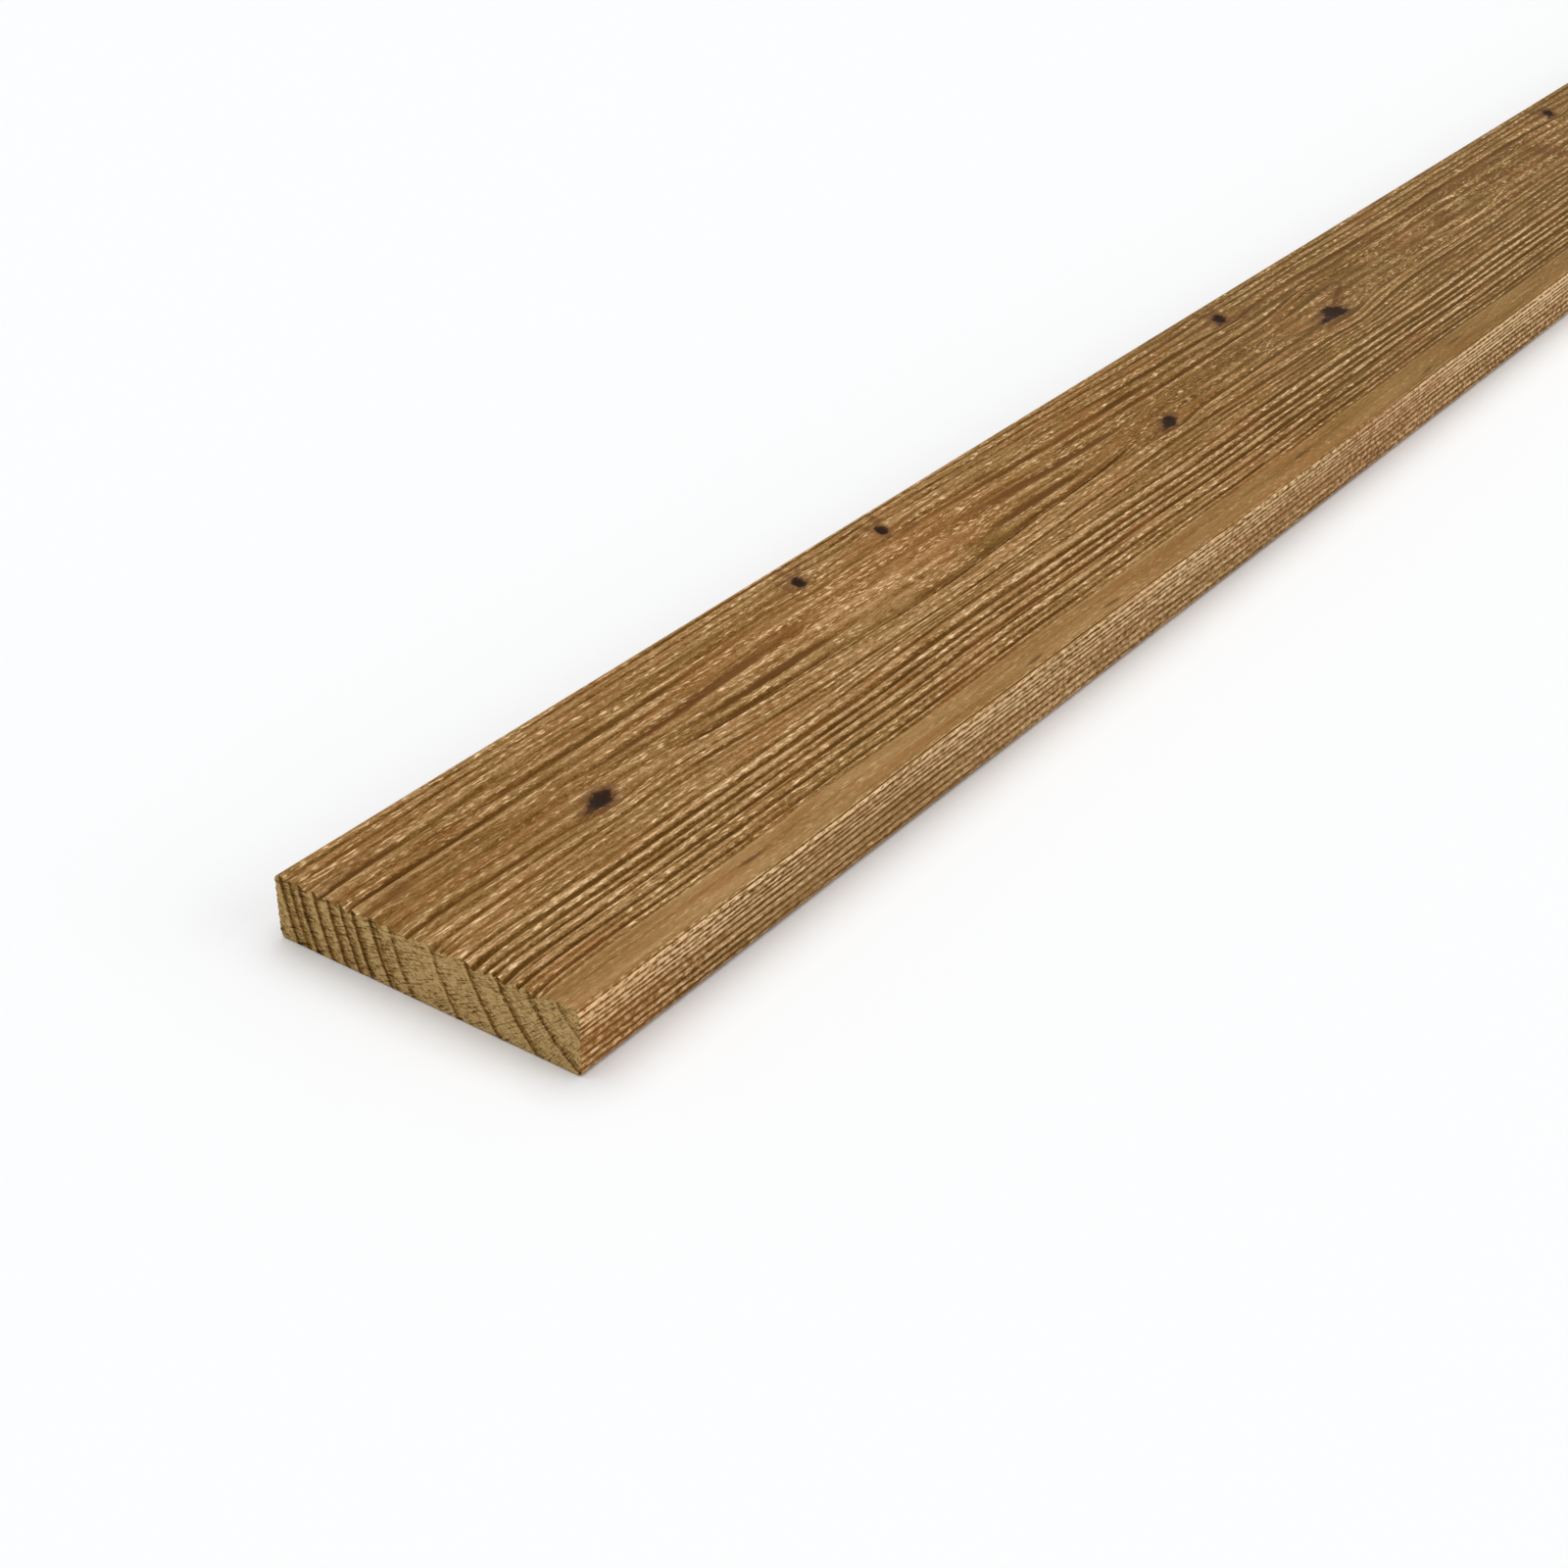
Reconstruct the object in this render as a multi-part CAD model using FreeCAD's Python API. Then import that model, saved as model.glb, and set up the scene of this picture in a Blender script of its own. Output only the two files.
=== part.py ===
import FreeCAD, Part
import os

# Decking board: one piece of sawn and planed pine, lying flat on its underside.
# Millimetres. X runs along the board, Y across it and Z up. The origin is under its middle,
# the far edge is at +Y, and the sawn end that knots are measured from is at -X.

# Stock sizes
boardLength = 2400.0
boardWidth = 145.0
boardThickness = 28.0

# Radius that eases the four long arrises
arrisRadius = 3.0

# Two rows of small dead knots, each row a distance in from the far edge
farRowInset = 17.4
middleRowInset = 63.0

# A dead knot has shrunk below the face: how deep it lies and how far its wall leans in
knotDepth = 1.6
knotWallLean = 0.7

# The cutter of a knot starts this far above the face
cutterRise = 2.0

# Each knot: distance from the sawn end, row, size along its own long axis, size across it,
# and the turn of that axis from the board's length, in degrees
knots = [
    {"fromEnd": 110.2, "inset": middleRowInset, "long": 13.6, "short": 8.4, "turn": 18.0},
    {"fromEnd": 302.8, "inset": farRowInset, "long": 8.4, "short": 6.0, "turn": 52.0},
    {"fromEnd": 368.0, "inset": farRowInset, "long": 7.8, "short": 5.6, "turn": 58.0},
    {"fromEnd": 556.3, "inset": middleRowInset, "long": 14.0, "short": 6.8, "turn": 24.0},
    {"fromEnd": 694.8, "inset": farRowInset, "long": 11.0, "short": 7.4, "turn": 40.0},
    {"fromEnd": 740.2, "inset": middleRowInset, "long": 21.0, "short": 11.0, "turn": 8.0},
    {"fromEnd": 1158.1, "inset": farRowInset, "long": 13.0, "short": 6.8, "turn": 34.0},
]


def eased(solid, radius):
    """The stock with its four long arrises rounded."""
    longEdges = [edge for edge in solid.Edges if abs(edge.tangentAt(edge.FirstParameter).x) > 0.999]
    return solid.makeFillet(radius, longEdges)


def stockPiece():
    """Plain rectangular stock, square sawn at both ends."""
    corner = FreeCAD.Vector(-boardLength / 2, -boardWidth / 2, 0)
    stock = Part.makeBox(boardLength, boardWidth, boardThickness, corner)
    return eased(stock, min(arrisRadius, boardThickness / 2 - 0.1))


def ovalWire(longSize, shortSize, height):
    """Closed oval, level, with its long axis on X."""
    oval = Part.Ellipse(FreeCAD.Vector(0, 0, height), longSize / 2, shortSize / 2)
    return Part.Wire([oval.toShape()])


def knotHollow(knot):
    """What a dead knot leaves open: a shallow oval with leaning walls and a flat floor."""
    floorLong = knot["long"] - 2 * knotWallLean
    floorShort = knot["short"] - 2 * knotWallLean
    sections = [
        ovalWire(knot["long"], knot["short"], cutterRise),
        ovalWire(knot["long"], knot["short"], 0),
        ovalWire(floorLong, floorShort, -knotDepth),
    ]
    hollow = Part.makeLoft(sections, True, True)
    hollow.rotate(FreeCAD.Vector(0, 0, 0), FreeCAD.Vector(0, 0, 1), knot["turn"])
    place = FreeCAD.Vector(knot["fromEnd"] - boardLength / 2, boardWidth / 2 - knot["inset"], boardThickness)
    hollow.translate(place)
    return hollow


def deckingBoard():
    """The whole board: eased stock with the dead knots open in its top face."""
    board = stockPiece()
    for knot in knots:
        board = board.cut(knotHollow(knot))
    return board


os.makedirs("parts", exist_ok=True)
board = deckingBoard()
board.exportStep("parts/decking_board.step")
box = board.BoundBox
print("solids", len(board.Solids), "valid", board.isValid(), "volume mm3", round(board.Volume))
print("size mm", round(box.XLength, 3), round(box.YLength, 3), round(box.ZLength, 3))
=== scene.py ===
import math
import bpy
import numpy as np
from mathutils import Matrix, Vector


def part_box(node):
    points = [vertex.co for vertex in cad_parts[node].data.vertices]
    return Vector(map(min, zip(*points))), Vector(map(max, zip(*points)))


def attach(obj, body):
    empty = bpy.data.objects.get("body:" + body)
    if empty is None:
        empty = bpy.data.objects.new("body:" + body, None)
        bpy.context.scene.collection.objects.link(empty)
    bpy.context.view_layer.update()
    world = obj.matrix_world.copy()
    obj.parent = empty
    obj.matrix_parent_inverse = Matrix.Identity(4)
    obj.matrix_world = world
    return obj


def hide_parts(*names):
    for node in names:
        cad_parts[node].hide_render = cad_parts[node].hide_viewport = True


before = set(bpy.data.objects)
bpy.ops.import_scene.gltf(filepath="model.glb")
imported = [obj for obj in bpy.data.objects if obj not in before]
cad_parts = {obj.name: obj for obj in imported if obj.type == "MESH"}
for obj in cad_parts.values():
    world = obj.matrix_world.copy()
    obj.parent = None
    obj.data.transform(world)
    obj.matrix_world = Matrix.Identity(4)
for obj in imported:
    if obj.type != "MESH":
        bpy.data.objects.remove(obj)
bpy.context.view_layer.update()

low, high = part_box("decking_board")
mm = 0.001
randomDraw = np.random.default_rng(28145)


# How the grain runs

# Places are in millimetres. Along is counted from the sawn end that shows, and across from the near
# edge of the top face. Across goes on round the section: below 0 it runs down the near edge and
# under the board, and past the board's width it runs down the far edge.
board = {
    "length": (high[0] - low[0]) / mm,
    "width": (high[1] - low[1]) / mm,
    "thickness": (high[2] - low[2]) / mm,
    "arris": 3.0,
    "seen": 1260.0,  # along, how far the photo shows the board
    "calmUpTo": 16.0,  # across, where the plain band beside the near arris ends
}
underStart = -board["thickness"] - board["width"]  # across, where the underside meets the far edge
underEnd = board["width"] + board["thickness"]  # the same corner, reached down the far edge
corners = (underStart, -board["thickness"], 0.0, board["width"], underEnd)

farRow = board["width"] - 17.4
middleRow = board["width"] - 63.0

# Small dead knots in the top face: place, size along and across their own axis, turn in degrees
knots = [
    {"along": 110.2, "across": middleRow, "long": 13.6, "short": 8.4, "turn": 18},
    {"along": 302.8, "across": farRow, "long": 8.4, "short": 6.0, "turn": 52},
    {"along": 368.0, "across": farRow, "long": 7.8, "short": 5.6, "turn": 58},
    {"along": 556.3, "across": middleRow, "long": 14.0, "short": 6.8, "turn": 24},
    {"along": 694.8, "across": farRow, "long": 11.0, "short": 7.4, "turn": 40},
    {"along": 740.2, "across": middleRow, "long": 21.0, "short": 11.0, "turn": 8},
    {"along": 1158.1, "across": farRow, "long": 13.0, "short": 6.8, "turn": 34},
]
knotDepth = 1.6

# The figure runs on along the board as its own mirror image. Its first stretch starts before the
# sawn end. A line starts at the growth place that names it, and each row says where it lies across
# the board at these places along the figure.
figure = {"start": -258.0, "length": 592.0}
figurePlaces = (-258, -200, -150, -110, -72, -30, 0, 60, 112, 150, 190, 250, 334)
wanderingLines = {
    17.0: (17, 17, 17, 17, 17, 17, 17, 17, 17, 17, 17, 17, 17),
    33.4: (33.4, 33.4, 33.4, 33.2, 32.9, 33.2, 33.4, 33.4, 33.3, 33.4, 33.5, 33.8, 34.2),
    47.4: (47.4, 47.2, 46.6, 46.2, 46.2, 47, 47.4, 47.5, 47.2, 47.3, 47.6, 48.1, 48.8),
    53.2: (53.2, 53, 52.6, 52, 52, 53, 53.2, 53.3, 52.9, 53.1, 53.6, 54.6, 56),
    66.0: (70, 70, 71, 68, 65, 66.5, 66, 67.5, 69.5, 68.6, 66.8, 64.5, 63),
    79.0: (78, 78, 78, 77, 74.5, 78, 79, 78.5, 77.3, 77, 75.5, 72.5, 69.5),
    86.0: (84, 84.5, 86, 87, 89.5, 87, 86, 86.5, 87.3, 84.5, 80.5, 77, 74),
    98.0: (111, 108, 103, 104, 100, 98, 98, 98, 98, 98.8, 100.6, 104.2, 107.2),
    107.5: (114, 112.5, 109.5, 111.5, 109, 107.5, 107.5, 107.5, 108, 108.8, 110.2, 112, 113.8),
    114.5: (117.5, 117, 116, 116, 114.7, 114.5, 114.2, 115.2, 115.6, 116, 116.6, 117.6, 119.2),
    121.3: (122.2, 122.4, 122.7, 122.8, 122.3, 121.9, 121.6, 122.6, 124.3, 125.6, 126, 126.6, 126.6),
    128.0: (129.2, 129.3, 129.9, 130.2, 129.6, 128.9, 128.2, 129.6, 130.9, 131.2, 131.8, 132.1, 131.9),
    133.4: (133.7, 133.7, 134, 134.3, 133.9, 133.6, 133.4, 134.4, 135.2, 135.6, 136.2, 136.6, 136.5),
    138.8: (138.7, 138.7, 139, 139.1, 139, 138.9, 138.8, 139.3, 139.8, 140.3, 141, 141.4, 141.4),
}

# Dark growth lines of the top face: growth place, half width, and depth of colour, either one
# figure or the depth at places along the figure
topLines = [
    (10.5, 1.0, 0.12), (17.4, 0.9, 0.40), (20.4, 1.0, 0.85), (23.4, 0.8, 0.45), (26.9, 1.2, 0.92),
    (30.8, 0.7, 0.40), (33.4, 1.3, 1.00), (38.2, 1.0, 0.75), (42.1, 1.3, 0.90), (47.4, 1.6, 1.00),
    (53.2, 1.2, 0.62), (56.4, 0.9, 0.30), (59.6, 1.0, 0.42), (62.4, 0.9, 0.36), (66.0, 1.5, 0.66),
    (73.0, 1.2, 0.34), (79.0, 1.5, ((-258, 0.3), (60, 0.45), (120, 0.6), (190, 0.3), (334, 0.2))),
    (84.3, 1.0, ((125, 0.0), (160, 0.6), (334, 0.6))),
    (86.5, 0.8, ((125, 0.0), (165, 0.5), (334, 0.6))),
    (90.8, 1.1, ((150, 0.1), (200, 0.6), (255, 0.6), (285, 0.1))),
    (97.8, 1.8, ((-120, 0.3), (-90, 0.5), (-40, 0.1), (110, 0.1), (135, 0.55), (235, 0.5), (300, 0.25))),
    (102.5, 0.9, 0.25),
    (107.5, 1.2, ((-258, 0.3), (-60, 0.5), (0, 0.72), (80, 0.6), (120, 0.3), (334, 0.25))),
    (114.5, 1.7, ((-60, 0.4), (0, 0.12), (70, 0.15), (105, 0.7), (334, 0.72))),
    (117.8, 1.0, ((185, 0.0), (225, 0.36), (285, 0.36), (325, 0.0))),
    (121.3, 1.2, ((-258, 0.65), (60, 0.65), (110, 0.42), (160, 0.32), (250, 0.28), (334, 0.3))),
    (128.0, 1.2, 0.36), (133.4, 1.1, 0.46), (138.8, 1.1, ((-258, 0.42), (0, 0.3), (100, 0.46), (334, 0.46))),
]
# The same for the near edge, counted down from the arris
edgeLines = [
    (-0.25, 0.4, 0.85), (-3.3, 0.7, 0.85), (-5.9, 0.6, 0.80), (-7.8, 0.6, 0.75), (-9.7, 0.6, 0.80),
    (-12.35, 0.7, 0.82), (-15.35, 0.75, 0.85), (-18.95, 0.8, 0.80), (-22.0, 0.7, 0.66), (-24.9, 0.8, 0.60),
]


# Lines for a face that the photo doesn't show, about a step apart
def hiddenLines(start, end, step):
    lines = []
    across = start + step * 0.6
    while across < end - step * 0.4:
        lines.append((across, float(randomDraw.uniform(0.7, 1.2)), float(randomDraw.uniform(0.35, 0.85))))
        across += step * float(randomDraw.uniform(0.7, 1.35))
    return lines


farLines = hiddenLines(board["width"] + board["arris"], underEnd, 3.0)
underLines = hiddenLines(underStart, -board["thickness"], 6.5)
allLines = sorted(underLines + edgeLines + topLines + farLines, key=lambda line: line[0])
linePlace = np.array([line[0] for line in allLines])
lineHalf = np.array([line[1] for line in allLines])


# Smooth step from 0 to 1
def ease(value):
    value = np.clip(value, 0.0, 1.0)
    return value * value * (3 - 2 * value)


# Where a place along the board lies in the figure, which turns back at each end of its stretch
def figurePlace(along):
    turned = np.mod(along - figure["start"], 2 * figure["length"])
    return figure["start"] + np.where(turned > figure["length"], 2 * figure["length"] - turned, turned)


# The section, and where its columns of points stand

# Height and place across of a point of the section, from its way round it
def sectionPoint(across):
    width, thick, arris = board["width"], board["thickness"], board["arris"]
    arcs = [  # way round, centre of the arris, angle at which its arc starts
        (underStart, width - arris, arris, 0),
        (-thick, arris, arris, 270),
        (0.0, arris, thick - arris, 180),
        (width, width - arris, thick - arris, 90),
        (underEnd, width - arris, arris, 0),
    ]
    side = np.where(across > width, width, np.where(across < 0, 0.0, across))
    side = np.where(across < -thick, -thick - across, side)
    rise = np.where(across > width, thick - (across - width), thick)
    rise = np.where(across < 0, thick + across, rise)
    rise = np.where(across < -thick, 0.0, rise)
    for corner, centreAcross, centreUp, start in arcs:
        inArc = np.abs(across - corner) < arris
        turn = np.radians(start - 90 * (across - corner + arris) / (2 * arris))
        side = np.where(inArc, centreAcross + arris * np.cos(turn), side)
        rise = np.where(inArc, centreUp + arris * np.sin(turn), rise)
    return side, rise


# How close the board's points stand, in millimetres
meshing = {
    "closest": 0.42,  # no two columns are nearer to each other
    "openFigure": (74.0, 142.0, 1.5),  # start, end and step of the columns where the figure opens out
    "tightFigure": (86.0, 98.5, 0.75),
    "besideKnots": 4.0,  # how far on either side of a row of knots there is a column each millimetre
    "stepAtKnots": 1.5,  # from one ring of points to the next
    "stepSeen": 7.4,
    "stepUnseen": 16.0,
}


# Growth places at which the board has a column of points: on each line, beside it and half way to
# the next, with more of them where the figure opens out and where the small knots are
def sectionColumns():
    columns = []
    for index, (place, half, depth) in enumerate(allLines):
        offsets = (0,)
        if board["calmUpTo"] < place < board["width"]:
            offsets = (0, -half * 0.5, half * 0.5, -half * 1.1, half * 1.1)
        columns += [place + offset for offset in offsets]
        if index:
            columns.append((place + allLines[index - 1][0]) / 2)
    columns += list(np.arange(*meshing["openFigure"]))
    columns += list(np.arange(*meshing["tightFigure"]))
    for row in (farRow, middleRow):
        columns += list(np.arange(row - meshing["besideKnots"], row + meshing["besideKnots"] + 0.1))
    for corner in corners:
        columns += [corner + board["arris"] * share for share in (-1, -0.5, 0, 0.5, 1)]
    columns = sorted(place for place in columns if underStart <= place < underEnd - 0.05)
    kept = [columns[0]]
    for place in columns[1:]:
        if place - kept[-1] > meshing["closest"]:
            kept.append(place)
    return np.array(kept)


# Places along the board at which it has a ring of points, closer by the small knots
def stationPlaces():
    length = board["length"]
    places = [0.0]
    while places[-1] < length:
        here = places[-1]
        gap = min(abs(here - knot["along"]) - knot["long"] * 0.6 for knot in knots)
        coarse = meshing["stepSeen"] if here < board["seen"] else meshing["stepUnseen"]
        fine = meshing["stepAtKnots"]
        places.append(here + (fine if gap < 0 else min(coarse, fine + gap * 0.35)))
    return np.array(places) * (length / places[-1])


columnPlace = sectionColumns()
stationPlace = stationPlaces()
print("columns", len(columnPlace), "stations", len(stationPlace))


# How the growth lines stray from the figure, and where they do it most, in millimetres
lineMoves = {
    "drift": 0.3,
    "ripple": 0.25,
    "knotPush": 0.8,  # how far a knot pushes them aside, as a share of its short size
    "loopAlong": 764,  # where they rise over the brown loop beside the largest knot
    "loopReach": 30,
    "loopRise": 2.6,
    "stepAlong": 178,  # where the near edge's lines step up over the arris
    "stepLength": 80,
}


# For each station and column, the way round the section that its growth line has there
def wayRound():
    names = sorted(wanderingLines)
    pushes = []
    for name in names:
        push = np.zeros(len(stationPlace))
        for offset, share in ((-24, 0.12), (-12, 0.23), (0, 0.3), (12, 0.23), (24, 0.12)):
            there = figurePlace(stationPlace + offset)
            push += share * (np.interp(there, figurePlaces, wanderingLines[name]) - name)
        pushes.append(push)
    names, pushes = [0.0] + names + [board["width"]], np.array([pushes[0] * 0] + pushes + [pushes[0] * 0])
    across = np.array([columnPlace + np.interp(columnPlace, names, push) for push in pushes.T])

    along = stationPlace[:, None]
    onTop = (columnPlace > 0) & (columnPlace < board["width"])
    drift, ripple = lineMoves["drift"], lineMoves["ripple"]
    move = drift * np.sin(along / 52 + 0.6) + ripple * np.sin(along / 23 + across / 40)
    move = np.where(onTop, move, ripple * np.sin(along / 70 + across / 9))
    for knot in knots:
        # by the far arris the lines sway further, and the most of them pass below the knot
        sway, lift = (1.6, 1.0) if knot["across"] == farRow else (1.0, 0.0)
        away = across - knot["across"] - lift
        near = np.exp(-(((along - knot["along"]) / (knot["long"] * 1.1 * sway + 4)) ** 2))
        fade = np.exp(-np.abs(away) / (knot["short"] * 0.8 * sway)) * np.where(away > 0, 0.6, 1.2)
        part = knot["short"] * lineMoves["knotPush"] * near * np.tanh(away / (knot["short"] * 0.6))
        move = move + np.where(onTop, part * fade, 0.0)
    # and they rise over the brown loop beside the largest knot
    over = np.exp(-(((along - lineMoves["loopAlong"]) / lineMoves["loopReach"]) ** 2))
    over = lineMoves["loopRise"] * (over * ease((across - 97) / 8))
    move = move + np.where(onTop, over * np.exp(-np.maximum(across - 105, 0) / 14), 0.0)
    # the move dies out at the four arrises, so that the section keeps its shape
    toCorner = np.min([np.abs(columnPlace - corner) for corner in corners], axis=0)
    across = across + move * ease((toCorner - board["arris"] * 0.8) / 7.0)
    # the near edge's lines step up over the arris and down again, all together
    together = ease((columnPlace + board["thickness"] - 1.5) / 6) * ease((9 - columnPlace) / 8)
    together = together * (0.5 + 0.2 * ease((columnPlace + 8) / 5))
    steps = np.sin((along - lineMoves["stepAlong"]) / lineMoves["stepLength"])
    return across + together * (1 + np.tanh(2.2 * steps))


across = wayRound()


# Where lines fade along the board: from and up to which growth place, the share that they lose, and
# where the fade starts and how long it is
lineFades = (
    (74, 119, 0.75, 780, 90),  # further along, the far half has only its long hollows
    (-board["thickness"], 0, 0.12, 330, 200),  # and the near edge is rougher, with fainter lines
)


# How deep the colour of each line is at each station
def lineDepths():
    there = figurePlace(stationPlace)
    rows = []
    for place, half, depth in allLines:
        if isinstance(depth, tuple):
            rows.append(np.interp(there, [node[0] for node in depth], [node[1] for node in depth]))
        else:
            rows.append(np.full(len(there), depth))
        for start, end, lost, fadeStart, fadeLength in lineFades:
            if start < place < end:
                rows[-1] = rows[-1] * (1 - lost * ease((stationPlace - fadeStart) / fadeLength))
    return np.array(rows)


lineDepth = lineDepths()


# The board itself

# The growth rings of the sawn ends: radius in millimetres, and depth of colour
growthRings = {
    "pithAcross": -31.6,  # the rings' middle lies outside the board, beyond the near edge
    "pithUp": 53.2,
    "rings": [(48.6, 0.6), (60.9, 0.75), (73.6, 0.9), (86.9, 0.8), (103.0, 0.65), (121.8, 0.8),
              (128.8, 0.7), (131.2, 1.0), (140.0, 1.0), (145.8, 0.95), (152.0, 1.0), (158.8, 1.0),
              (165.8, 1.0), (170.3, 0.85), (175.0, 0.9)],
}

boardMaking = {
    "deepest": 3.3,  # millimetres that the brushing may cut back at most
    "groove": 1.1,  # millimetres, of the darkest line
    "endWear": 0.9,  # how much deeper the lines are at the sawn ends
    "wearReach": 6,
    "teeth": 1.7,  # millimetres, the steps between the rings along the top of a sawn end
    "teethReach": 7.0,
    "teethGap": 4,  # rings that meet the top closer together than this have no tooth between them
    "teethClimb": 3.0,  # how far before a ring its tooth starts to climb
    "edgeShare": 0.35,  # how deep the lines of the hidden faces and the near edge are beside the top's
    "uneven": 0.2,  # millimetres, how uneven the brushed wood between the lines is
    "plainShare": 0.15,  # how uneven the hidden faces, the near edge and the plain band are beside it
    "wave": 0.75,  # millimetres, the long hollows of the far half
    "waveFrom": 75.0,
    "waveUpTo": 128.0,
    "waveStep": 7.05,
    "waveFirst": 79.3,
}


# Which line is nearest, and how far off it is as a share of its half width
def nearestLine(growth):
    index = np.abs(growth[..., None] - linePlace).argmin(-1)
    return index, np.abs(growth - linePlace[index]) / lineHalf[index]


# How far into a sunken knot a place is: 1 on its floor, 0 outside it
def knotShare():
    share = np.zeros(across.shape)
    along = stationPlace[:, None]
    for knot in knots:
        turn = math.radians(knot["turn"])
        alongAxis = (along - knot["along"]) * math.cos(turn) + (across - knot["across"]) * math.sin(turn)
        acrossAxis = (across - knot["across"]) * math.cos(turn) - (along - knot["along"]) * math.sin(turn)
        reach = np.hypot(alongAxis / (knot["long"] / 2), acrossAxis / (knot["short"] / 2))
        share = np.maximum(share, ease((1 - reach) / 0.3))
    return share * ((across > 0) & (across < board["width"]))


# The teeth along the top of a sawn end: the wood falls away slowly from one ring and climbs again
# steeply to the next
def ringTeeth(growth):
    above = growthRings["pithUp"] - board["thickness"]
    radii = [radius for radius, dark in growthRings["rings"]]
    meets = [math.sqrt(radius**2 - above**2) + growthRings["pithAcross"] for radius in radii]
    places, depths = [0.0], [0.0]
    for inner, ring in zip(meets, meets[1:]):
        gap = ring - inner
        if gap > boardMaking["teethGap"]:
            places += [inner + 0.01, ring - min(boardMaking["teethClimb"], gap * 0.4), ring]
            depths += [0.15, 1.0, 0.1]
    return np.interp(growth, places + [board["width"]], depths + [0.0])


# How far each point is cut back by the brushed grain, in millimetres
def brushedDepth():
    index, reach = nearestLine(columnPlace)
    groove = lineDepth[index].T * np.exp(-(reach**2) * 1.4) * boardMaking["groove"]
    toEnd = np.minimum(stationPlace, board["length"] - stationPlace)[:, None]
    groove = groove * (1 + boardMaking["endWear"] * np.exp(-toEnd / boardMaking["wearReach"]))
    onTop = (columnPlace > board["calmUpTo"]) & (columnPlace < board["width"] - board["arris"])
    groove = groove * np.where(onTop, 1.0, boardMaking["edgeShare"])
    uneven = randomDraw.normal(0, 1, across.shape)
    for turn in range(3):
        uneven = (np.roll(uneven, 1, 0) + 2 * uneven + np.roll(uneven, -1, 0)) / 4
    uneven = np.clip(uneven / uneven.std() * 0.5 + 0.6, 0, 2) * boardMaking["uneven"]
    wave = 0.5 + 0.5 * np.cos((across - boardMaking["waveFirst"]) / boardMaking["waveStep"] * 2 * np.pi)
    wave = wave * ease((across - boardMaking["waveFrom"]) / 5) * ease((boardMaking["waveUpTo"] - across) / 8)
    wave = wave * boardMaking["wave"]
    wave = wave * (1 + 0.3 * ease((stationPlace - 760) / 140))[:, None]  # deeper further along
    teeth = boardMaking["teeth"] * ringTeeth(columnPlace) * np.exp(-toEnd / boardMaking["teethReach"])
    return groove + np.where(onTop, uneven + wave + teeth, uneven * boardMaking["plainShare"])


def makeBoard():
    bpy.ops.object.select_all(action="DESELECT")
    columns, stations = len(columnPlace), len(stationPlace)
    bpy.ops.mesh.primitive_circle_add(vertices=columns, radius=board["width"] * mm / 2)
    piece = bpy.context.object
    piece.name = "deckingBoardWood"
    sweep = piece.modifiers.new("alongTheBoard", "SCREW")  # draws the section out along the board
    sweep.axis = "X"
    sweep.angle = 0
    sweep.screw_offset = board["length"] * mm
    sweep.steps = sweep.render_steps = stations - 1
    bpy.ops.object.modifier_apply(modifier=sweep.name)

    along = np.repeat(stationPlace[:, None], columns, 1)
    side, rise = sectionPoint(across)
    points = np.stack([low[0] / mm + along, low[1] / mm + side, low[2] / mm + rise], -1) * mm
    piece.data.vertices.foreach_set("co", points.reshape(-1))
    piece.data.update()

    bpy.ops.object.mode_set(mode="EDIT")
    bpy.ops.mesh.select_all(action="SELECT")
    bpy.ops.mesh.normals_make_consistent(inside=False)
    bpy.ops.object.mode_set(mode="OBJECT")
    topFaces = [face for face in piece.data.polygons if face.center.z > high[2] - mm]
    if sum(face.normal.z * face.area for face in topFaces) < 0:
        piece.data.flip_normals()

    knotFloor = knotShare()
    brushed = brushedDepth() / boardMaking["deepest"] * (1 - knotFloor)
    for name, shares, direction, depth in (("brushed", brushed, "NORMAL", boardMaking["deepest"]),
                                           ("knotFloor", knotFloor, "Z", knotDepth)):
        group = piece.vertex_groups.new(name=name)
        for index, share in enumerate(np.clip(shares, 0, 1).reshape(-1)):
            if share > 0:
                group.add([index], float(share), "REPLACE")
        carve = piece.modifiers.new(name, "DISPLACE")
        carve.vertex_group = name
        carve.direction = direction
        carve.mid_level = 0
        carve.strength = -depth * mm
        bpy.ops.object.modifier_apply(modifier=carve.name)

    for end in (low[0], high[0]):  # closes the two sawn ends
        bpy.ops.object.mode_set(mode="EDIT")
        bpy.ops.mesh.select_all(action="DESELECT")
        bpy.ops.object.mode_set(mode="OBJECT")
        for vertex in piece.data.vertices:
            vertex.select = abs(vertex.co.x - end) < 0.1 * mm
        bpy.ops.object.mode_set(mode="EDIT")
        bpy.ops.mesh.select_mode(type="VERT")
        bpy.ops.mesh.edge_face_add()
        bpy.ops.object.mode_set(mode="OBJECT")
    return piece


piece = makeBoard()
print("points", len(piece.data.vertices), "faces", len(piece.data.polygons))


# What the wood's finish reads off the mesh

unwrap = {
    "topStretch": 1.85,  # image pixels for a millimetre across the top face, of 1024
    "edgeStretch": 1.65,
    "underStretch": 0.8,
    "endStretch": 1.55,
    "imageSize": 1024,
    "margin": 6,
    "sideCorners": 4,  # a face with more corners than this is a sawn end
}


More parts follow.
